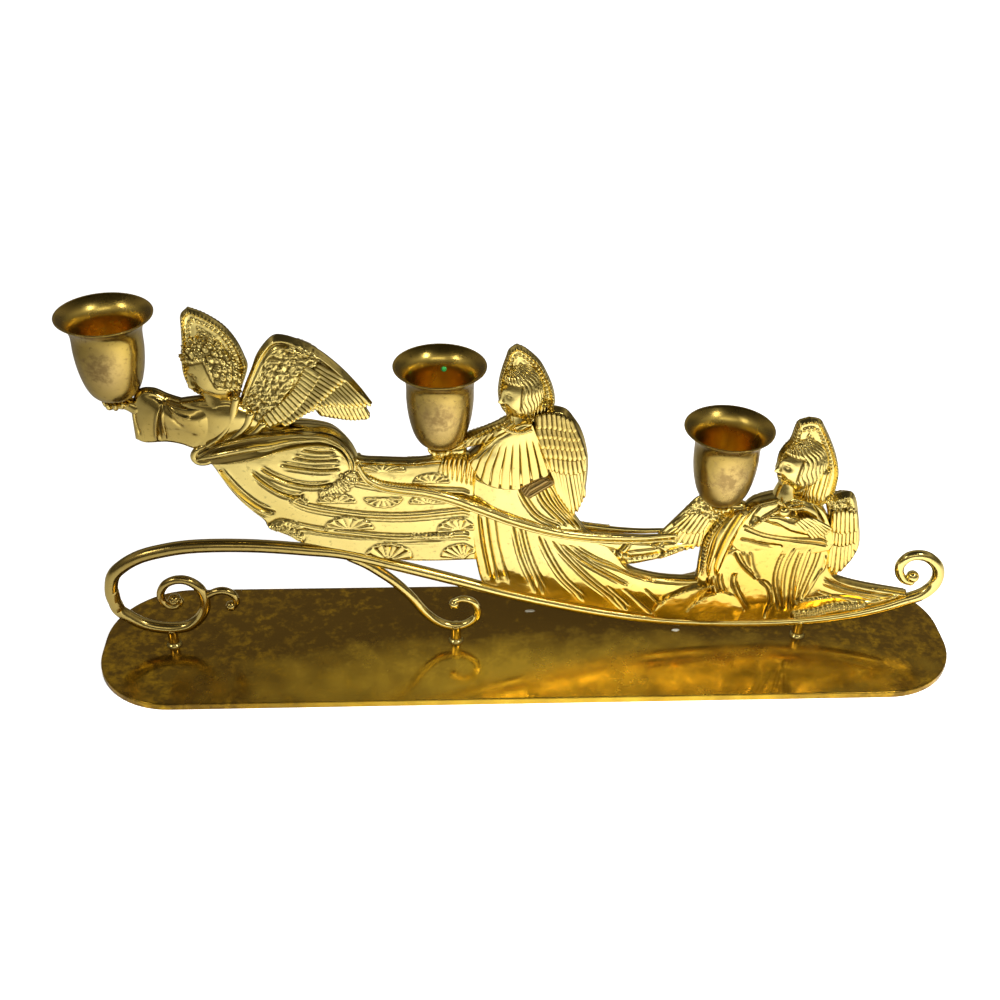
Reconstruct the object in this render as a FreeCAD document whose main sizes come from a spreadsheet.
import FreeCAD, Part
import math
import os

import Sketcher

# A brass table candle holder for three taper candles. Three flying angels in relief, cast with
# the sleigh runner that they rest on, each hold up a candle cup, and the runner stands on three
# short posts on a long flat base plate with round corners.
#
# Frame: X runs along the plate towards the curled tail, Y runs away from the front, Z is up.
# The origin is the centre of the plate's underside. Lengths are in millimetres.
#
# The figures were set out on a squared drawing. An outline point is a share of the side of one
# drawing square, in X and in Z, and the drawing's zero line lies just under the plate's top.

SIZES = [
    ("plate_front_margin", 27.0, "length of the plate in front of the front post"),
    ("plate_rear_margin", 58.0, "length of the plate behind the rear post"),
    ("plate_width", 68.9, "width of the base plate"),
    ("plate_end_flat", 8.7, "straight stretch of each plate end, between its round corners"),
    ("plate_thickness", 2.6, "thickness of the base plate"),
    ("plate_edge_round", 0.7, "rounding of the plate's upper edge"),
    ("drawing_square", 100.0, "side of one square of the casting's drawing"),
    ("rail_radius", 2.2, "radius of the runner's upper rail and of the front scroll"),
    ("lower_rail_radius", 2.0, "radius of the runner's lower rail and of its tail"),
    ("leg_radius", 1.75, "radius of the middle leg"),
    ("leaf_radius", 1.35, "radius of the small side scroll"),
    ("scroll_ball_radius", 2.7, "radius of the rosette that ends the front scroll"),
    ("leg_ball_radius", 2.1, "radius of the ball that ends the middle leg"),
    ("tail_ball_radius", 2.5, "radius of the ball that ends the tail"),
    ("leaf_ball_radius", 2.1, "radius of the ball that ends the small side scroll"),
    ("band_radius", 1.5, "radius of the veil's rolled edge"),
    ("edge_depth", 2.3, "half thickness of a gown at its edge"),
    ("gown_depth", 4.6, "half thickness of a gown at its crown"),
    ("fold_radius", 1.5, "radius of a raised fold of a gown"),
    ("fold_height", 3.7, "height of a fold's middle over the middle plane"),
    ("body_depth", 5.4, "half thickness of a bodice at its crown"),
    ("sleeve_depth", 6.2, "half thickness of a sleeve at its crown"),
    ("sleeve_edge_depth", 4.0, "half thickness of a sleeve at its edge"),
    ("halo_depth", 1.7, "half thickness of a halo"),
    ("feather_depth", 2.8, "thickness of a wing at its long feathers"),
    ("covert_depth", 4.2, "thickness of a wing at its down and leading edge"),
    ("head_depth", 6.4, "half thickness of a head"),
    ("cup_height", 32.0, "height of a candle cup"),
    ("cup_bore_radius", 11.0, "radius of the candle bore"),
    ("cup_wall", 0.7, "wall of a candle cup"),
    ("cup_floor", 1.2, "floor of a candle cup"),
    ("cup_flange_radius", 16.2, "radius of a cup's trumpet lip"),
    ("cup_flare_radius", 5.6, "radius of the curve under the lip"),
    ("cup_flare_height", 6.0, "height of the lip's flare"),
    ("cup_straight_height", 9.0, "height of the straight stretch of the bore"),
    ("cup_foot_radius", 3.4, "radius of the flat foot under a cup"),
    ("palm_radius", 4.4, "radius of the palm that carries a cup"),
    ("palm_thickness", 2.8, "thickness of that palm"),
    ("wrist_radius", 2.9, "radius of a wrist"),
    ("cup_screw_radius", 1.3, "radius of a cup screw's shank"),
    ("cup_screw_head_radius", 2.7, "radius of a cup screw's head"),
    ("cup_screw_head_height", 1.2, "height of a cup screw's head"),
    ("post_foot_radius", 3.7, "radius of a post's foot disc"),
    ("post_foot_height", 1.0, "height of a post's foot disc"),
    ("post_radius", 2.5, "radius of a post"),
    ("base_screw_radius", 1.2, "radius of a base screw's shank"),
    ("base_screw_grip", 3.6, "length of a base screw inside its post"),
    ("base_screw_head_radius", 2.9, "radius of a base screw's head"),
    ("base_screw_head_height", 1.2, "height of a base screw's head"),
    ("base_screw_recess", 1.5, "depth of the recess for the head of a base screw"),
]

doc = FreeCAD.newDocument("ThreeAngelCandleHolder")
sheet = doc.addObject("Spreadsheet::Sheet", "Sizes")
for row, (alias, value, note) in enumerate(SIZES, start=1):
    sheet.set(f"A{row}", note)
    sheet.set(f"B{row}", str(value))
    sheet.setAlias(f"B{row}", alias)
doc.recompute()


class Length:
    """A length in millimetres that also knows the sheet expression that it comes from."""

    def __init__(self, value, text):
        self.value = value
        self.text = text

    def __add__(self, other):
        return Length(self.value + other.value, f"({self.text} + {other.text})")

    def __sub__(self, other):
        return Length(self.value - other.value, f"({self.text} - {other.text})")

    def __mul__(self, share):
        return Length(self.value * share, f"({self.text} * ({share}))")

    def __neg__(self):
        return self * -1


def size(alias):
    return Length(float(sheet.get(alias)), f"Sizes.{alias}")


NOTHING = size("drawing_square") * 0
SQUARE = size("drawing_square")
ZERO_LINE_SHARE = 0.026
ZERO_LINE = size("plate_thickness") - SQUARE * ZERO_LINE_SHARE
PLATE_TOP = size("plate_thickness")


def along(share):
    """X of a drawing share."""
    return SQUARE * share


def level(share):
    """Z of a drawing share."""
    return ZERO_LINE + SQUARE * share


def bind(item, **lengths):
    """Binds properties of an object to the sheet."""
    for name, length in lengths.items():
        item.setExpression(name, length.text)


def move_to(item, x, y, z):
    """Binds the place of an object to the sheet."""
    for axis, length in (("x", x), ("y", y), ("z", z)):
        item.setExpression(f"Placement.Base.{axis}", length.text)


def draw_outline(sketch, corners, arcs=()):
    """Draws a closed outline whose corners are pairs of lengths. arcs maps the number of the
    corner that a round stretch starts from to its radius and to the side that it bulges to,
    1 for the right-hand side of the way it is drawn and -1 for the left-hand side."""
    arcs = dict(arcs)
    points = [FreeCAD.Vector(a.value, b.value, 0) for a, b in corners]
    count = len(points)
    ends = []
    for i, start in enumerate(points):
        stop = points[(i + 1) % count]
        if i not in arcs:
            edge = sketch.addGeometry(Part.LineSegment(start, stop), False)
            ends.append((edge, 1, 2))
            continue
        radius, side = arcs[i]
        chord = stop - start
        inward = FreeCAD.Vector(-chord.y, chord.x, 0).normalize() * side
        reach = math.sqrt(radius.value**2 - (chord.Length / 2) ** 2)
        centre = start + chord * 0.5 + inward * reach
        angles = [math.atan2(p.y - centre.y, p.x - centre.x) for p in (start, stop)]
        circle = Part.Circle(centre, FreeCAD.Vector(0, 0, 1), radius.value)
        if side < 0:
            angles.reverse()
        edge = sketch.addGeometry(Part.ArcOfCircle(circle, angles[0], angles[1]), False)
        ends.append((edge, 1, 2) if side > 0 else (edge, 2, 1))
        number = sketch.addConstraint(Sketcher.Constraint("Radius", edge, radius.value))
        sketch.setExpression(f"Constraints[{number}]", radius.text)
    for i in range(count):
        edge, _, last = ends[i]
        following, first, _ = ends[(i + 1) % count]
        sketch.addConstraint(Sketcher.Constraint("Coincident", edge, last, following, first))
    for (edge, first, _), corner in zip(ends, corners):
        for kind, length in zip(("DistanceX", "DistanceY"), corner):
            rule = Sketcher.Constraint(kind, -1, 1, edge, first, length.value)
            number = sketch.addConstraint(rule)
            sketch.setExpression(f"Constraints[{number}]", length.text)


def origin_item(body, role):
    return next(f for f in body.Origin.OriginFeatures if f.Role == role)


def body_sketch(body, name, plane):
    sketch = body.newObject("Sketcher::SketchObject", name)
    sketch.AttachmentSupport = [(origin_item(body, plane), "")]
    sketch.MapMode = "FlatFace"
    return sketch


def turned(name, corners, arcs=()):
    """A piece turned about Z: its profile's corners are radius and height."""
    body = doc.addObject("PartDesign::Body", name)
    sketch = body_sketch(body, f"{name}_profile", "XZ_Plane")
    draw_outline(sketch, corners, arcs)
    turn = body.newObject("PartDesign::Revolution", f"{name}_turn")
    turn.Profile = sketch
    turn.ReferenceAxis = (sketch, ["V_Axis"])
    turn.Angle = 360
    return body


def cylinder(name, radius, height, x, y, z):
    item = doc.addObject("Part::Cylinder", name)
    bind(item, Radius=radius, Height=height)
    move_to(item, x, y, z)
    return item


def join(name, items):
    item = doc.addObject("Part::MultiFuse", name)
    item.Shapes = items
    return item


def cut(name, base, tools):
    for number, tool in enumerate(tools, start=1):
        item = doc.addObject("Part::Cut", f"{name}_{number}")
        item.Base = base
        item.Tool = tool
        base = item
    return base


def flat_sketch(name, outline_shares):
    """A sketch in the drawing's plane, with its corners at the given shares."""
    sketch = doc.addObject("Sketcher::SketchObject", name)
    sketch.Placement.Rotation = FreeCAD.Rotation(FreeCAD.Vector(1, 0, 0), 90)
    draw_outline(sketch, [(SQUARE * u, SQUARE * v) for u, v in outline_shares])
    sketch.setExpression("Placement.Base.z", ZERO_LINE.text)
    return sketch


def slab(name, sketch, front, back):
    """The sketch's outline as a plate from -front to +back in Y."""
    item = doc.addObject("Part::Extrusion", name)
    item.Base = sketch
    item.DirMode = "Normal"
    item.Solid = True
    bind(item, LengthFwd=front, LengthRev=back)
    return item


def lens_sides(name, ridge_shares, half_width_share, crown, edge):
    """Two large cylinders whose common part is a bar, crown thick on its ridge line and edge
    thick at half_width_share to each side of it."""
    (u0, v0), (u1, v1) = ridge_shares
    run = FreeCAD.Vector(u1 - u0, 0, v1 - v0)
    drop = (crown - edge).value
    half_width = (SQUARE * half_width_share).value
    # The radius of a circle whose arc drops by the given height over half its chord. The share
    # of the square keeps it in the sheet, and the drop only sets how flat the arc is.
    radius = SQUARE * round((half_width**2 + drop**2) / (2 * drop) / SQUARE.value, 4)
    sides = []
    for word, side in (("front", 1), ("back", -1)):
        item = doc.addObject("Part::Cylinder", f"{name}_{word}_side")
        item.Placement.Rotation = FreeCAD.Rotation(FreeCAD.Vector(0, 0, 1), run)
        bind(item, Radius=radius, Height=SQUARE * (run.Length * 3))
        axis_y = (radius - crown) * side
        move_to(item, along(u0 - (u1 - u0)), axis_y, level(v0 - (v1 - v0)))
        sides.append(item)
    return sides


# The main folds of the gowns: the edges of the front train's tiers, and the rear skirt's folds.
FOLD_SHARES = {
    "front_train": [
        [(-0.60, 0.625), (-0.45, 0.62), (-0.28, 0.64)],
        [(-0.60, 0.54), (-0.45, 0.525), (-0.28, 0.53)],
        [(-0.60, 0.468), (-0.45, 0.462), (-0.28, 0.465)],
        [(-0.56, 0.82), (-0.46, 0.81), (-0.37, 0.815)],
    ],
    "rear_skirt": [
        [(0.78, 0.45), (0.82, 0.37), (0.87, 0.305)],
        [(1.00, 0.47), (0.975, 0.34), (0.985, 0.17)],
        [(1.06, 0.47), (1.05, 0.35), (1.03, 0.19)],
        [(0.66, 0.28), (0.69, 0.21), (0.74, 0.15)],
    ],
}


def folds(label):
    """Round bars sunk into both faces of a relief."""
    bars = []
    for number, line in enumerate(FOLD_SHARES[label], start=1):
        for word, side in (("front", -1), ("back", 1)):
            lift = FreeCAD.Vector(0, size("fold_height").value * side, 0)
            points = [drawn(share_point) + lift for share_point in line]
            bars.append(rod(f"{label}_{word}_fold_{number}", points, size("fold_radius")))
    return bars


through = {}


def cutter(label):
    """A slab of a relief's outline, deep enough to cut any other relief."""
    if label not in through:
        depth = SQUARE * 0.5
        through[label] = slab(f"{label}_through", doc.getObject(f"{label}_outline"), depth, depth)
    return through[label]


def relief(label, outline_shares, ridge_shares, half_width_share, crown, edge, tools=()):
    """A domed relief: an outline cut from a lens-shaped bar, less the pieces that lie in it."""
    sketch = flat_sketch(f"{label}_outline", outline_shares)
    dome = slab(f"{label}_slab", sketch, crown, crown)
    for side in lens_sides(label, ridge_shares, half_width_share, crown, edge):
        common = doc.addObject("Part::Common", f"{side.Name}_dome")
        common.Base = dome
        common.Tool = side
        dome = common
    if label in FOLD_SHARES:
        dome = join(f"{label}_folded", [dome] + folds(label))
    return finish(label, dome, tools)


def finish(label, item, tools=()):
    """Names a finished piece, after the pieces that it makes room for are cut from it."""
    if tools:
        item = cut(f"{label}_cut", item, list(tools))
    item.Label = label
    nodes.append(item)
    return item


nodes = []


def drawn(share_point):
    u, v = share_point
    return FreeCAD.Vector(along(u).value, 0, level(v).value)


ARC_SHARE = 0.46


def route_wire(points):
    """Straight runs joined by tangent arcs, each as large as its two runs allow."""
    edges = []
    here = points[0]
    for before, corner, after in zip(points, points[1:], points[2:]):
        into, out = corner - before, after - corner
        turn = into.getAngle(out)
        trim = ARC_SHARE * min(into.Length, out.Length)
        if turn < math.radians(0.5):
            continue
        start = corner - into.normalize() * trim
        stop = corner + out.normalize() * trim
        to_middle = (start + stop) * 0.5 - corner
        radius = trim / math.tan(turn / 2)
        centre = corner + to_middle.normalize() * (radius / math.cos(turn / 2))
        middle = centre + (corner - centre).normalize() * radius
        edges.append(Part.LineSegment(here, start).toShape())
        edges.append(Part.Arc(start, middle, stop).toShape())
        here = stop
    edges.append(Part.LineSegment(here, points[-1]).toShape())
    return Part.Wire(edges)


def rod(name, points, radius, ball_radius=None, ball_shares=None):
    """A round rod along a route, with a ball on its end where one is given."""
    wire = route_wire(points)
    heading = points[1] - points[0]
    section = Part.Wire([Part.Circle(points[0], heading, radius.value).toShape()])
    shape = wire.makePipeShell([section], True, False)
    if ball_radius:
        shape = shape.fuse(Part.makeSphere(ball_radius.value, drawn(ball_shares)))
    item = doc.addObject("Part::Feature", name)
    item.Shape = shape
    return item


def middle_of(a, b):
    return (a + b) * 0.5


# The base plate, with a recessed hole for each screw that comes up into a post.

POST_SHARES = {"front": -1.38, "middle": -0.285, "rear": 1.07}
CUP_SHARES = {"front": (-1.45, 1.131), "middle": (-0.341, 0.93), "rear": (0.691, 0.672)}


def rounded_rectangle(low, high, width, radius):
    """A rectangle from low to high in X, centred in Y, with round corners."""
    side = width * 0.5
    corners = [
        (low + radius, -side),
        (high - radius, -side),
        (high, -side + radius),
        (high, side - radius),
        (high - radius, side),
        (low + radius, side),
        (low, side - radius),
        (low, -side + radius),
    ]
    return corners, {i: (radius, 1) for i in (1, 3, 5, 7)}


def hole_sketch(body, name, radius):
    sketch = body_sketch(body, name, "XY_Plane")
    for share in POST_SHARES.values():
        place = FreeCAD.Vector(along(share).value, 0, 0)
        circle = Part.Circle(place, FreeCAD.Vector(0, 0, 1), radius.value)
        ring = sketch.addGeometry(circle, False)
        for kind, length in (("DistanceX", along(share)), ("DistanceY", NOTHING)):
            rule = Sketcher.Constraint(kind, -1, 1, ring, 3, length.value)
            number = sketch.addConstraint(rule)
            sketch.setExpression(f"Constraints[{number}]", length.text)
        number = sketch.addConstraint(Sketcher.Constraint("Radius", ring, radius.value))
        sketch.setExpression(f"Constraints[{number}]", radius.text)
    return sketch


def make_base_plate():
    body = doc.addObject("PartDesign::Body", "base_plate")
    outline = body_sketch(body, "plate_outline", "XY_Plane")
    width = size("plate_width")
    corner_radius = (width - size("plate_end_flat")) * 0.5
    low = along(POST_SHARES["front"]) - size("plate_front_margin")
    high = along(POST_SHARES["rear"]) + size("plate_rear_margin")
    corners, arcs = rounded_rectangle(low, high, width, corner_radius)
    draw_outline(outline, corners, arcs)
    pad = body.newObject("PartDesign::Pad", "plate_pad")
    pad.Profile = outline
    bind(pad, Length=size("plate_thickness"))
    doc.recompute()
    top = max(range(len(pad.Shape.Faces)), key=lambda i: pad.Shape.Faces[i].CenterOfMass.z)
    rounding = body.newObject("PartDesign::Fillet", "plate_rounding")
    rounding.Base = (pad, [f"Face{top + 1}"])
    bind(rounding, Radius=size("plate_edge_round"))
    for name, radius, depth in (
        ("screw_holes", size("base_screw_radius"), size("plate_thickness")),
        ("screw_recesses", size("base_screw_head_radius"), size("base_screw_recess")),
    ):
        pocket = body.newObject("PartDesign::Pocket", name)
        pocket.Profile = hole_sketch(body, f"{name}_sketch", radius)
        pocket.Reversed = True
        bind(pocket, Length=depth)
    finish("base_plate", body)


# The runner: one bent rod from the front scroll over the loop, down the rails and up the tail.

SCROLL_SHARES = [
    (-1.345, 0.218),
    (-1.378, 0.216),
    (-1.402, 0.243),
    (-1.403, 0.28),
    (-1.38, 0.32),
    (-1.34, 0.34),
    (-1.295, 0.335),
    (-1.255, 0.30),
    (-1.24, 0.25),
    (-1.245, 0.20),
    (-1.27, 0.155),
    (-1.31, 0.12),
    (-1.36, 0.107),
    (-1.42, 0.11),
    (-1.48, 0.128),
    (-1.53, 0.163),
    (-1.57, 0.21),
]
LOOP_SHARES = [
    (-1.586, 0.28),
    (-1.57, 0.36),
    (-1.525, 0.41),
    (-1.46, 0.45),
    (-1.38, 0.475),
    (-1.28, 0.493),
    (-1.15, 0.498),
    (-1.00, 0.492),
    (-0.84, 0.475),
    (-0.70, 0.452),
    (-0.57, 0.42),
]
LOWER_RAIL_SHARES = [
    (-0.40, 0.363),
    (-0.20, 0.293),
    (0.0, 0.23),
    (0.20, 0.176),
    (0.40, 0.134),
    (0.60, 0.107),
    (0.80, 0.096),
    (1.00, 0.097),
    (1.15, 0.11),
    (1.28, 0.133),
]
TAIL_SHARES = [
    (1.40, 0.166),
    (1.49, 0.202),
    (1.55, 0.24),
    (1.582, 0.30),
    (1.57, 0.36),
    (1.53, 0.403),
    (1.48, 0.412),
    (1.44, 0.395),
    (1.424, 0.355),
    (1.436, 0.315),
    (1.467, 0.29),
]
LEG_SHARES = [
    (-0.65, 0.437),
    (-0.585, 0.375),
    (-0.52, 0.32),
    (-0.46, 0.25),
    (-0.41, 0.175),
    (-0.36, 0.123),
    (-0.31, 0.10),
    (-0.26, 0.10),
    (-0.215, 0.13),
    (-0.20, 0.17),
    (-0.22, 0.212),
    (-0.262, 0.228),
    (-0.295, 0.215),
]
LEAF_SHARES = [
    (-1.24, 0.25),
    (-1.21, 0.275),
    (-1.17, 0.286),
    (-1.135, 0.27),
    (-1.122, 0.238),
    (-1.13, 0.212),
]
SCROLL_BALL_SHARES = (-1.355, 0.25)
TAIL_BALL_SHARES = (1.485, 0.312)
LEG_BALL_SHARES = (-0.292, 0.205)
LEAF_BALL_SHARES = (-1.145, 0.21)


def make_runner():
    stretches = [SCROLL_SHARES, LOOP_SHARES, LOWER_RAIL_SHARES, TAIL_SHARES]
    routes = [[drawn(p) for p in shares] for shares in stretches]
    for here, following in zip(routes, routes[1:]):
        joint = middle_of(here[-1], following[0])
        here.append(joint)
        following.insert(0, joint)
    scroll, loop, lower, tail = routes
    rail, low = size("rail_radius"), size("lower_rail_radius")
    made = {
        "front_scroll": rod(
            "front_scroll", scroll, rail, size("scroll_ball_radius"), SCROLL_BALL_SHARES
        ),
        "upper_rail": rod("upper_rail", loop, rail),
        "lower_rail": rod("lower_rail", lower, low),
        "tail_curl": rod("tail_curl", tail, low, size("tail_ball_radius"), TAIL_BALL_SHARES),
    }
    for label, item in made.items():
        finish(label, item)
    leg = rod(
        "leg_rod",
        [drawn(p) for p in LEG_SHARES],
        size("leg_radius"),
        size("leg_ball_radius"),
        LEG_BALL_SHARES,
    )
    rails = [made["upper_rail"], made["lower_rail"]]
    made["middle_leg"] = finish("middle_leg", leg, rails)
    leaf = rod(
        "leaf_rod",
        [drawn(p) for p in LEAF_SHARES],
        size("leaf_radius"),
        size("leaf_ball_radius"),
        LEAF_BALL_SHARES,
    )
    made["side_scroll"] = finish("side_scroll", leaf, [made["front_scroll"]])
    return made


def make_posts(runner):
    """Each post has a foot disc on the plate, a shank up into the rod above it and a blind
    bore for its screw."""
    above = {"front": "front_scroll", "middle": "middle_leg", "rear": "lower_rail"}
    middle_of_rod_share = 0.105
    top = level(middle_of_rod_share) - PLATE_TOP
    bore, grip = size("base_screw_radius"), size("base_screw_grip")
    foot, foot_height = size("post_foot_radius"), size("post_foot_height")
    shank = size("post_radius")
    profile = [
        (bore, NOTHING),
        (foot, NOTHING),
        (foot, foot_height * 0.6),
        (shank, foot_height),
        (shank, top),
        (NOTHING, top),
        (NOTHING, grip),
        (bore, grip),
    ]
    for word, share in POST_SHARES.items():
        post = turned(f"{word}_post_body", profile)
        move_to(post, along(share), NOTHING, PLATE_TOP)
        finish(f"{word}_post", post, [runner[above[word]]])


def make_base_screws():
    head, height = size("base_screw_head_radius"), size("base_screw_head_height")
    shank, recess = size("base_screw_radius"), size("base_screw_recess")
    tip = size("plate_thickness") + size("base_screw_grip")
    profile = [
        (NOTHING, recess - height),
        (head, recess - height),
        (head, recess),
        (shank, recess),
        (shank, tip),
        (NOTHING, tip),
    ]
    screws = []
    for word, share in POST_SHARES.items():
        screw = turned(f"{word}_base_screw", profile)
        move_to(screw, along(share), NOTHING, NOTHING)
        screws.append(screw)
    group = doc.addObject("Part::Compound", "base_screw_group")
    group.Links = screws
    finish("base_screws", group)


# The candle cups, thin and trumpet-lipped, each held to a palm by a screw through its floor.


def make_cups():
    bore, wall, floor = size("cup_bore_radius"), size("cup_wall"), size("cup_floor")
    rim, tall = size("cup_flange_radius"), size("cup_height")
    flare, neck = size("cup_flare_radius"), tall - size("cup_flare_height")
    straight = neck - size("cup_straight_height")
    foot, hole = size("cup_foot_radius"), size("cup_screw_radius")
    side_shares = [(0.44, 0.05), (0.68, 0.19), (0.80, 0.41)]
    outside = [(bore * u + wall, straight * v) for u, v in side_shares]
    inside = [(bore * u, straight * v + floor * 0.8) for u, v in reversed(side_shares)]
    profile = [(hole, NOTHING), (foot, NOTHING)] + outside
    profile += [(bore + wall, straight), (bore + wall, neck)]
    profile += [(rim, tall - wall), (rim, tall), (bore, neck), (bore, straight)]
    profile += inside + [(foot, floor), (hole, floor)]
    arcs = {6: (flare, -1), 8: (flare + wall, 1)}
    for word, (u, v) in CUP_SHARES.items():
        cup = turned(f"{word}_cup", profile, arcs)
        move_to(cup, along(u), NOTHING, level(v))
        finish(f"{word}_candle_cup", cup)


def make_cup_screws():
    head, height = size("cup_screw_head_radius"), size("cup_screw_head_height")
    shank, floor = size("cup_screw_radius"), size("cup_floor")
    tip = -size("palm_thickness")
    profile = [
        (NOTHING, tip),
        (shank, tip),
        (shank, floor),
        (head, floor),
        (head, floor + height * 0.5),
        (head * 0.6, floor + height),
        (NOTHING, floor + height),
    ]
    screws = {}
    for word, (u, v) in CUP_SHARES.items():
        screws[word] = turned(f"{word}_cup_screw", profile)
        move_to(screws[word], along(u), NOTHING, level(v))
    group = doc.addObject("Part::Compound", "cup_screw_group")
    group.Links = list(screws.values())
    finish("cup_screws", group)
    return screws


# The figures. Each is drawn from its outlines, the pieces in front first: a piece makes room
# for those before it, so that neighbours meet face to face.

WRIST_SHARES = {
    "front": [(-1.45, 1.115), (-1.41, 1.09), (-1.36, 1.065)],
    "middle": [(-0.341, 0.915), (-0.30, 0.91), (-0.255, 0.925)],
    "rear": [(0.691, 0.657), (0.735, 0.655), (0.775, 0.665)],
}


def make_hands(screws):
    hands = {}
    for word, (u, v) in CUP_SHARES.items():
        thick = size("palm_thickness")
        palm_z = level(v) - thick
        palm = cylinder(f"{word}_palm", size("palm_radius"), thick, along(u), NOTHING, palm_z)
        radius = size("wrist_radius")
        lowered = FreeCAD.Vector(0, 0, -radius.value)
        route = [drawn(p) + lowered * 0.5 for p in WRIST_SHARES[word]]
        wrist = rod(f"{word}_wrist", route, radius)
        hand = join(f"{word}_hand_raw", [palm, wrist])
        top = cylinder(
            f"{word}_palm_clear", radius * 3, radius * 2, along(u), NOTHING, level(v)
        )
        hands[word] = finish(f"{word}_hand", hand, [screws[word], top])
    return hands


HEAD_SHARES = {
    # word: hair centre, hair radii, face centre, face radii, neck foot, neck top
    "front": ((-1.105, 1.245), (0.092, 0.125), (-1.16, 1.19), (0.052, 0.062), (-1.12, 1.10)),
    "middle": ((-0.055, 1.145), (0.078, 0.105), (-0.102, 1.12), (0.044, 0.052), (-0.075, 1.02)),
    "rear": ((0.995, 0.825), (0.094, 0.12), (0.918, 0.79), (0.053, 0.062), (0.94, 0.70)),
}


def ellipsoid(name, centre_shares, radius_shares, depth, y=None):
    """Part::Ellipsoid takes its radii along Z, X and Y in that order. A quarter turn about Z
    keeps its seam off the plane of the drawing, where thin plates meet it."""
    item = doc.addObject("Part::Ellipsoid", name)
    item.Placement.Rotation = FreeCAD.Rotation(FreeCAD.Vector(0, 0, 1), 90)
    across, tall = radius_shares
    bind(item, Radius1=SQUARE * tall, Radius2=depth, Radius3=SQUARE * across)
    u, v = centre_shares
    move_to(item, along(u), y or NOTHING, level(v))
    return item


def make_heads():
    heads = {}
    depth = size("head_depth")
    for word, (hair_at, hair_shares, face_at, face_shares, neck_at) in HEAD_SHARES.items():
        hair = ellipsoid(f"{word}_hair", hair_at, hair_shares, depth)
        face = ellipsoid(f"{word}_face", face_at, face_shares, depth * 0.75)
        neck_height = SQUARE * (face_at[1] - neck_at[1])
        neck_radius = depth * 0.52
        place = along(neck_at[0]), NOTHING, level(neck_at[1])
        neck = cylinder(f"{word}_neck", neck_radius, neck_height, *place)
        heads[word] = finish(f"{word}_head", join(f"{word}_head_raw", [hair, face, neck]))
    return heads


NEAR_WING_SHARES = {
    "front": [
        (-1.04, 1.11),
        (-1.01, 1.20),
        (-0.98, 1.25),
        (-0.96, 1.30),
        (-0.93, 1.345),
        (-0.90, 1.372),
        (-0.87, 1.378),
        (-0.82, 1.362),
        (-0.75, 1.32),
        (-0.68, 1.255),
        (-0.62, 1.18),
        (-0.57, 1.105),
        (-0.57, 1.088),
        (-0.66, 1.085),
        (-0.72, 1.10),
        (-0.79, 1.11),
        (-0.80, 1.09),
        (-0.84, 1.05),
        (-0.86, 1.03),
        (-0.90, 1.01),
        (-0.95, 0.99),
        (-0.97, 1.02),
        (-1.0, 1.06),
    ],
    "middle": [
        (-0.03, 1.04),
        (0.01, 1.08),
        (0.055, 1.098),
        (0.10, 1.085),
        (0.12, 1.06),
        (0.15, 1.01),
        (0.17, 0.95),
        (0.185, 0.88),
        (0.19, 0.80),
        (0.185, 0.72),
        (0.165, 0.65),
        (0.15, 0.60),
        (0.10, 0.68),
        (0.06, 0.78),
        (0.03, 0.86),
        (0.0, 0.92),
        (-0.025, 0.98),
    ],
    "rear": [
        (1.05, 0.665),
        (1.10, 0.70),
        (1.14, 0.715),
        (1.17, 0.72),
        (1.19, 0.69),
        (1.215, 0.62),
        (1.235, 0.54),
        (1.243, 0.47),
        (1.225, 0.41),
        (1.195, 0.35),
        (1.17, 0.325),
        (1.135, 0.36),
        (1.12, 0.46),
        (1.12, 0.56),
        (1.09, 0.62),
    ],
}
COVERT_SHARES = {
    "front": [
        (-1.04, 1.11),
        (-1.01, 1.20),
        (-0.98, 1.25),
        (-0.96, 1.30),
        (-0.93, 1.345),
        (-0.90, 1.372),
        (-0.87, 1.378),
        (-0.82, 1.362),
        (-0.75, 1.32),
        (-0.68, 1.255),
        (-0.70, 1.235),
        (-0.80, 1.27),
        (-0.83, 1.22),
        (-0.88, 1.17),
        (-0.92, 1.12),
        (-0.97, 1.06),
        (-1.0, 1.06),
    ],
    "middle": [
        (-0.03, 1.04),
        (0.01, 1.08),
        (0.055, 1.098),
        (0.10, 1.085),
        (0.12, 1.06),
        (0.15, 1.01),
        (0.17, 0.95),
        (0.14, 0.93),
        (0.05, 0.94),
        (-0.015, 0.95),
        (-0.025, 0.98),
    ],
    "rear": [
        (1.05, 0.665),
        (1.10, 0.70),
        (1.14, 0.715),
        (1.17, 0.72),
        (1.19, 0.69),
        (1.215, 0.62),
        (1.225, 0.56),
        (1.12, 0.55),
        (1.12, 0.56),
        (1.09, 0.62),
    ],
}
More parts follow.
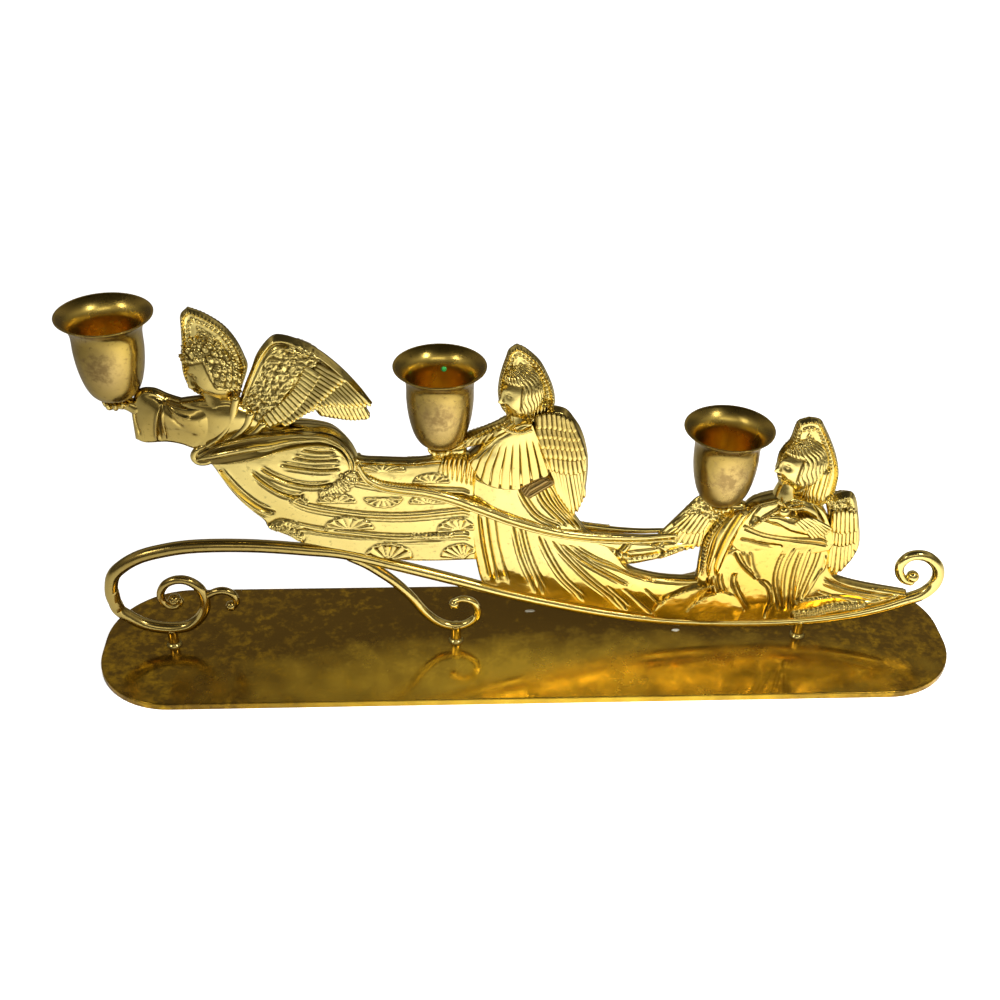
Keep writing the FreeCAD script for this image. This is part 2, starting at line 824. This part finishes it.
FAR_WING_SHARES = {
    "front": [
        (-1.02, 1.13),
        (-1.005, 1.20),
        (-1.0, 1.29),
        (-0.965, 1.31),
        (-0.93, 1.335),
        (-0.87, 1.36),
        (-0.80, 1.33),
        (-0.72, 1.26),
        (-0.65, 1.17),
        (-0.59, 1.08),
        (-0.585, 1.035),
        (-0.60, 1.025),
        (-0.67, 1.035),
        (-0.72, 1.05),
        (-0.77, 1.09),
        (-0.84, 1.07),
        (-0.95, 1.02),
        (-0.99, 1.06),
    ],
    "middle": [
        (-0.02, 1.04),
        (0.01, 1.07),
        (0.055, 1.085),
        (0.09, 1.07),
        (0.12, 1.02),
        (0.15, 0.94),
        (0.165, 0.86),
        (0.17, 0.78),
        (0.165, 0.70),
        (0.145, 0.62),
        (0.10, 0.69),
        (0.06, 0.78),
        (0.03, 0.86),
        (0.0, 0.92),
        (-0.02, 0.98),
    ],
    "rear": [
        (0.372, 0.395),
        (0.45, 0.475),
        (0.475, 0.525),
        (0.50, 0.57),
        (0.55, 0.63),
        (0.575, 0.665),
        (0.60, 0.685),
        (0.63, 0.66),
        (0.68, 0.645),
        (0.74, 0.62),
        (0.72, 0.56),
        (0.65, 0.48),
        (0.60, 0.46),
        (0.55, 0.435),
        (0.45, 0.405),
    ],
}


def make_wings(heads, band, hand):
    """A wing is a plate of long feathers with a thicker plate of down and leading edge on it.
    Near wings lie in front of the drawing's plane and far wings behind it."""
    wings = {}
    feathers, coverts = size("feather_depth"), size("covert_depth")
    for word, shares in NEAR_WING_SHARES.items():
        label = f"{word}_near_wing"
        vane = slab(f"{label}_vane", flat_sketch(f"{label}_outline", shares), feathers, NOTHING)
        down = flat_sketch(f"{label}_down_outline", COVERT_SHARES[word])
        arm = slab(f"{label}_down", down, coverts, NOTHING)
        whole = join(f"{label}_whole", [vane, arm])
        wings[label] = finish(label, whole, [heads[word]])
    for word, shares in FAR_WING_SHARES.items():
        label = f"{word}_far_wing"
        sketch = flat_sketch(f"{label}_outline", shares)
        front = feathers * 0.8 if word == "rear" else NOTHING
        back = feathers * 0.8 if word == "rear" else coverts * 0.8
        tools = [band, hand] if word == "rear" else [heads[word]]
        wings[label] = finish(label, slab(f"{label}_vane", sketch, front, back), tools)
    return wings


HALO_SHARES = {
    "front": [
        (-1.20, 1.25),
        (-1.203, 1.33),
        (-1.20, 1.44),
        (-1.185, 1.47),
        (-1.16, 1.48),
        (-1.12, 1.455),
        (-1.06, 1.41),
        (-1.02, 1.35),
        (-1.0, 1.29),
        (-0.99, 1.25),
        (-1.0, 1.16),
        (-1.05, 1.10),
        (-1.13, 1.12),
    ],
    "middle": [
        (-0.135, 1.16),
        (-0.127, 1.24),
        (-0.115, 1.28),
        (-0.105, 1.31),
        (-0.08, 1.33),
        (-0.05, 1.315),
        (0.0, 1.27),
        (0.03, 1.215),
        (0.05, 1.16),
        (0.06, 1.09),
        (0.0, 1.04),
        (-0.07, 1.05),
    ],
    "rear": [
        (0.90, 0.86),
        (0.905, 0.92),
        (0.925, 0.99),
        (0.93, 1.015),
        (0.97, 1.03),
        (1.01, 1.025),
        (1.03, 1.0),
        (1.07, 0.93),
        (1.10, 0.86),
        (1.115, 0.80),
        (1.115, 0.72),
        (1.09, 0.68),
        (1.0, 0.69),
        (0.96, 0.74),
    ],
}
SLEEVE_SHARES = {
    "front": (
        [
            (-1.405, 0.97),
            (-1.37, 0.955),
            (-1.30, 0.957),
            (-1.25, 0.95),
            (-1.20, 0.925),
            (-1.15, 0.94),
            (-1.11, 0.97),
            (-1.07, 1.03),
            (-1.045, 1.10),
            (-1.07, 1.13),
            (-1.12, 1.135),
            (-1.18, 1.13),
            (-1.24, 1.13),
            (-1.27, 1.145),
            (-1.32, 1.17),
            (-1.365, 1.165),
            (-1.405, 1.10),
        ],
        ((-1.40, 1.04), (-1.10, 1.04)),
        0.10,
    ),
    "middle": (
        [
            (-0.31, 0.905),
            (-0.27, 0.85),
            (-0.20, 0.795),
            (-0.16, 0.795),
            (-0.10, 0.79),
            (-0.05, 0.80),
            (0.0, 0.80),
            (0.05, 0.80),
            (0.05, 0.90),
            (0.03, 0.98),
            (0.01, 1.05),
            (-0.08, 1.055),
            (-0.14, 1.025),
            (-0.20, 0.995),
            (-0.26, 0.975),
        ],
        ((-0.28, 0.86), (0.0, 0.94)),
        0.11,
    ),
    "rear": (
        [
            (0.64, 0.52),
            (0.637, 0.33),
            (0.68, 0.31),
            (0.72, 0.31),
            (0.76, 0.38),
            (0.80, 0.46),
            (0.83, 0.56),
            (0.85, 0.66),
            (0.82, 0.70),
            (0.77, 0.69),
            (0.72, 0.66),
            (0.67, 0.60),
        ],
        ((0.68, 0.34), (0.78, 0.68)),
        0.10,
    ),
}
BODICE_SHARES = {
    "front": (
        [
            (-1.205, 0.93),
            (-1.215, 0.885),
            (-1.19, 0.86),
            (-1.15, 0.855),
            (-1.0, 0.85),
            (-0.85, 0.835),
            (-0.70, 0.80),
            (-0.655, 0.81),
            (-0.63, 0.86),
            (-0.64, 0.90),
            (-0.67, 0.96),
            (-0.72, 1.0),
            (-0.80, 1.02),
            (-0.90, 1.05),
            (-0.98, 1.12),
            (-1.04, 1.13),
            (-1.10, 1.08),
        ],
        ((-1.10, 0.95), (-0.70, 0.90)),
        0.15,
    ),
    "middle": (
        [
            (-0.21, 0.81),
            (-0.19, 0.68),
            (-0.10, 0.66),
            (0.0, 0.66),
            (0.10, 0.67),
            (0.08, 0.74),
            (0.05, 0.80),
            (0.02, 0.86),
            (-0.10, 0.82),
        ],
        ((-0.07, 0.66), (-0.05, 0.86)),
        0.14,
    ),
    "rear": (
        [
            (0.80, 0.47),
            (0.90, 0.45),
            (1.0, 0.455),
            (1.13, 0.46),
            (1.14, 0.50),
            (1.13, 0.58),
            (1.10, 0.64),
            (1.06, 0.67),
            (1.0, 0.70),
            (0.90, 0.72),
            (0.85, 0.705),
            (0.80, 0.70),
        ],
        ((0.97, 0.46), (0.97, 0.70)),
        0.18,
    ),
}
SKIRT_SHARES = {
    "front": (
        [
            (-1.17, 0.89),
            (-1.15, 0.855),
            (-1.13, 0.82),
            (-1.10, 0.76),
            (-1.06, 0.70),
            (-1.02, 0.655),
            (-0.99, 0.625),
            (-0.965, 0.585),
            (-0.91, 0.56),
            (-0.87, 0.525),
            (-0.85, 0.478),
            (-0.74, 0.46),
            (-0.62, 0.435),
            (-0.60, 0.55),
            (-0.605, 0.70),
            (-0.62, 0.79),
            (-0.645, 0.85),
            (-0.85, 0.90),
            (-1.0, 0.90),
        ],
        ((-1.10, 0.75), (-0.55, 0.65)),
        0.25,
    ),
    "middle": (
        [
            (-0.235, 0.80),
            (-0.235, 0.55),
            (-0.215, 0.43),
            (-0.20, 0.33),
            (-0.195, 0.292),
            (-0.10, 0.26),
            (0.0, 0.23),
            (0.08, 0.207),
            (0.15, 0.19),
            (0.18, 0.32),
            (0.19, 0.43),
            (0.20, 0.545),
            (0.15, 0.62),
            (0.10, 0.69),
            (0.05, 0.76),
            (0.0, 0.80),
        ],
        ((-0.08, 0.80), (0.0, 0.23)),
        0.22,
    ),
    "rear": (
        [
            (0.52, 0.117),
            (0.70, 0.10),
            (0.80, 0.096),
            (1.0, 0.097),
            (1.06, 0.102),
            (1.09, 0.24),
            (1.12, 0.34),
            (1.14, 0.45),
            (1.135, 0.52),
            (1.0, 0.52),
            (0.80, 0.52),
            (0.74, 0.42),
            (0.71, 0.32),
            (0.62, 0.325),
            (0.56, 0.325),
            (0.52, 0.26),
        ],
        ((0.85, 0.50), (0.90, 0.10)),
        0.30,
    ),
}
TRAIN_SHARES = {
    "front": (
        [
            (-0.66, 0.446),
            (-0.58, 0.425),
            (-0.54, 0.432),
            (-0.46, 0.425),
            (-0.20, 0.43),
            (-0.20, 0.90),
            (-0.24, 0.885),
            (-0.33, 0.89),
            (-0.40, 0.88),
            (-0.55, 0.88),
            (-0.66, 0.90),
            (-0.70, 0.84),
        ],
        ((-0.60, 0.66), (-0.22, 0.66)),
        0.24,
    ),
    "middle": (
        [
            (0.12, 0.198),
            (0.20, 0.176),
            (0.40, 0.134),
            (0.53, 0.125),
            (0.56, 0.20),
            (0.58, 0.325),
            (0.52, 0.33),
            (0.45, 0.345),
            (0.37, 0.38),
            (0.41, 0.42),
            (0.49, 0.48),
            (0.47, 0.525),
            (0.30, 0.535),
            (0.16, 0.56),
        ],
        ((0.15, 0.40), (0.50, 0.22)),
        0.20,
    ),
    "rear": (
        [
            (1.03, 0.098),
            (1.15, 0.11),
            (1.28, 0.133),
            (1.40, 0.166),
            (1.47, 0.195),
            (1.455, 0.235),
            (1.37, 0.265),
            (1.30, 0.28),
            (1.21, 0.30),
            (1.17, 0.32),
            (1.13, 0.36),
            (1.08, 0.34),
        ],
        ((1.06, 0.20), (1.45, 0.21)),
        0.12,
    ),
}
BAND_SHARES = [
    (-0.665, 0.86),
    (-0.60, 0.78),
    (-0.50, 0.745),
    (-0.40, 0.73),
    (-0.30, 0.70),
    (-0.20, 0.655),
    (-0.10, 0.61),
    (0.0, 0.57),
    (0.10, 0.543),
    (0.20, 0.53),
    (0.33, 0.52),
    (0.48, 0.512),
]


def make_veil_band():
    """The rolled edge of the long veil, once on the front and once on the back."""
    radius = size("band_radius")
    proud = (size("gown_depth") - radius * 0.35).value
    route = [drawn(p) for p in BAND_SHARES]
    rods = []
    for word, side in (("front", -1), ("back", 1)):
        shift = FreeCAD.Vector(0, proud * side, 0)
        rods.append(rod(f"veil_band_{word}", [p + shift for p in route], radius))
    group = doc.addObject("Part::Compound", "veil_band_group")
    group.Links = rods
    return finish("veil_band", group)


def make_dove():
    """The bird in the rear angel's arms: a body, a raised wing and a head."""
    depth = size("body_depth")
    front = -depth
    body = ellipsoid("dove_body", (0.95, 0.575), (0.065, 0.042), depth * 0.6, front)
    wing = ellipsoid("dove_wing", (1.05, 0.56), (0.075, 0.036), depth * 0.45, front)
    head = ellipsoid("dove_head", (0.925, 0.615), (0.026, 0.024), depth * 0.4, front)
    return finish("dove", join("dove_raw", [body, wing, head]))


def make_figures(runner, hands):
    band = make_veil_band()
    heads = make_heads()
    make_wings(heads, band, hands["rear"])
    dove = make_dove()
    edge, gown = size("edge_depth"), size("gown_depth")
    halo = size("halo_depth")
    resting = {
        "front_skirt": [band, runner["upper_rail"]],
        "middle_skirt": [band, runner["lower_rail"]],
        "rear_skirt": [runner["lower_rail"]],
        "front_train": [band, hands["middle"], runner["upper_rail"]],
        "middle_train": [band, runner["lower_rail"]],
        "rear_train": [runner["lower_rail"], runner["tail_curl"]],
    }
    neighbours = {
        "front_train": ["front_skirt", "front_bodice", "middle_skirt", "middle_sleeve"],
        "middle_train": ["middle_skirt", "middle_near_wing", "rear_skirt", "rear_far_wing"],
        "rear_train": ["rear_skirt", "rear_near_wing"],
    }
    for word in ("front", "middle", "rear"):
        wings = [cutter(f"{word}_near_wing"), cutter(f"{word}_far_wing")]
        own = [heads[word], hands[word]] + wings
        own.append(dove if word == "rear" else band)
        depths = size("sleeve_depth"), size("sleeve_edge_depth")
        relief(f"{word}_sleeve", *SLEEVE_SHARES[word], *depths, own)
        sleeve = cutter(f"{word}_sleeve")
        outline = flat_sketch(f"{word}_halo_outline", HALO_SHARES[word])
        plate = slab(f"{word}_halo_plate", outline, halo, halo)
        finish(f"{word}_halo", plate, [heads[word]] + wings + [sleeve])
        tools = own + [sleeve, cutter(f"{word}_halo")]
        relief(f"{word}_bodice", *BODICE_SHARES[word], size("body_depth"), edge, tools)
        tools = [sleeve, cutter(f"{word}_bodice"), wings[0]] + resting[f"{word}_skirt"]
        relief(f"{word}_skirt", *SKIRT_SHARES[word], gown, edge, tools)
    for word, drawing in TRAIN_SHARES.items():
        label = f"{word}_train"
        tools = [cutter(name) for name in neighbours[label]] + resting[label]
        relief(label, *drawing, gown, edge, tools)


def write_parts():
    doc.recompute()
    for item in doc.Objects:
        if "Invalid" in item.State or "Error" in item.State:
            raise RuntimeError(f"{item.Name} failed: {item.State}")
    for item in nodes:
        if item.Shape.isNull() or not item.Shape.isValid():
            raise RuntimeError(f"{item.Label} has no valid shape")
    os.makedirs("parts", exist_ok=True)
    for item in nodes:
        item.Shape.exportStep(os.path.join("parts", f"{item.Label}.step"))
        solids = item.Shape.Solids
        volumes = ", ".join(f"{solid.Volume:.1f}" for solid in solids)
        print(f"{item.Label}: {len(solids)} solids, volumes {volumes}")


make_base_plate()
runner = make_runner()
make_posts(runner)
make_base_screws()
make_cups()
hands = make_hands(make_cup_screws())
make_figures(runner, hands)
write_parts()
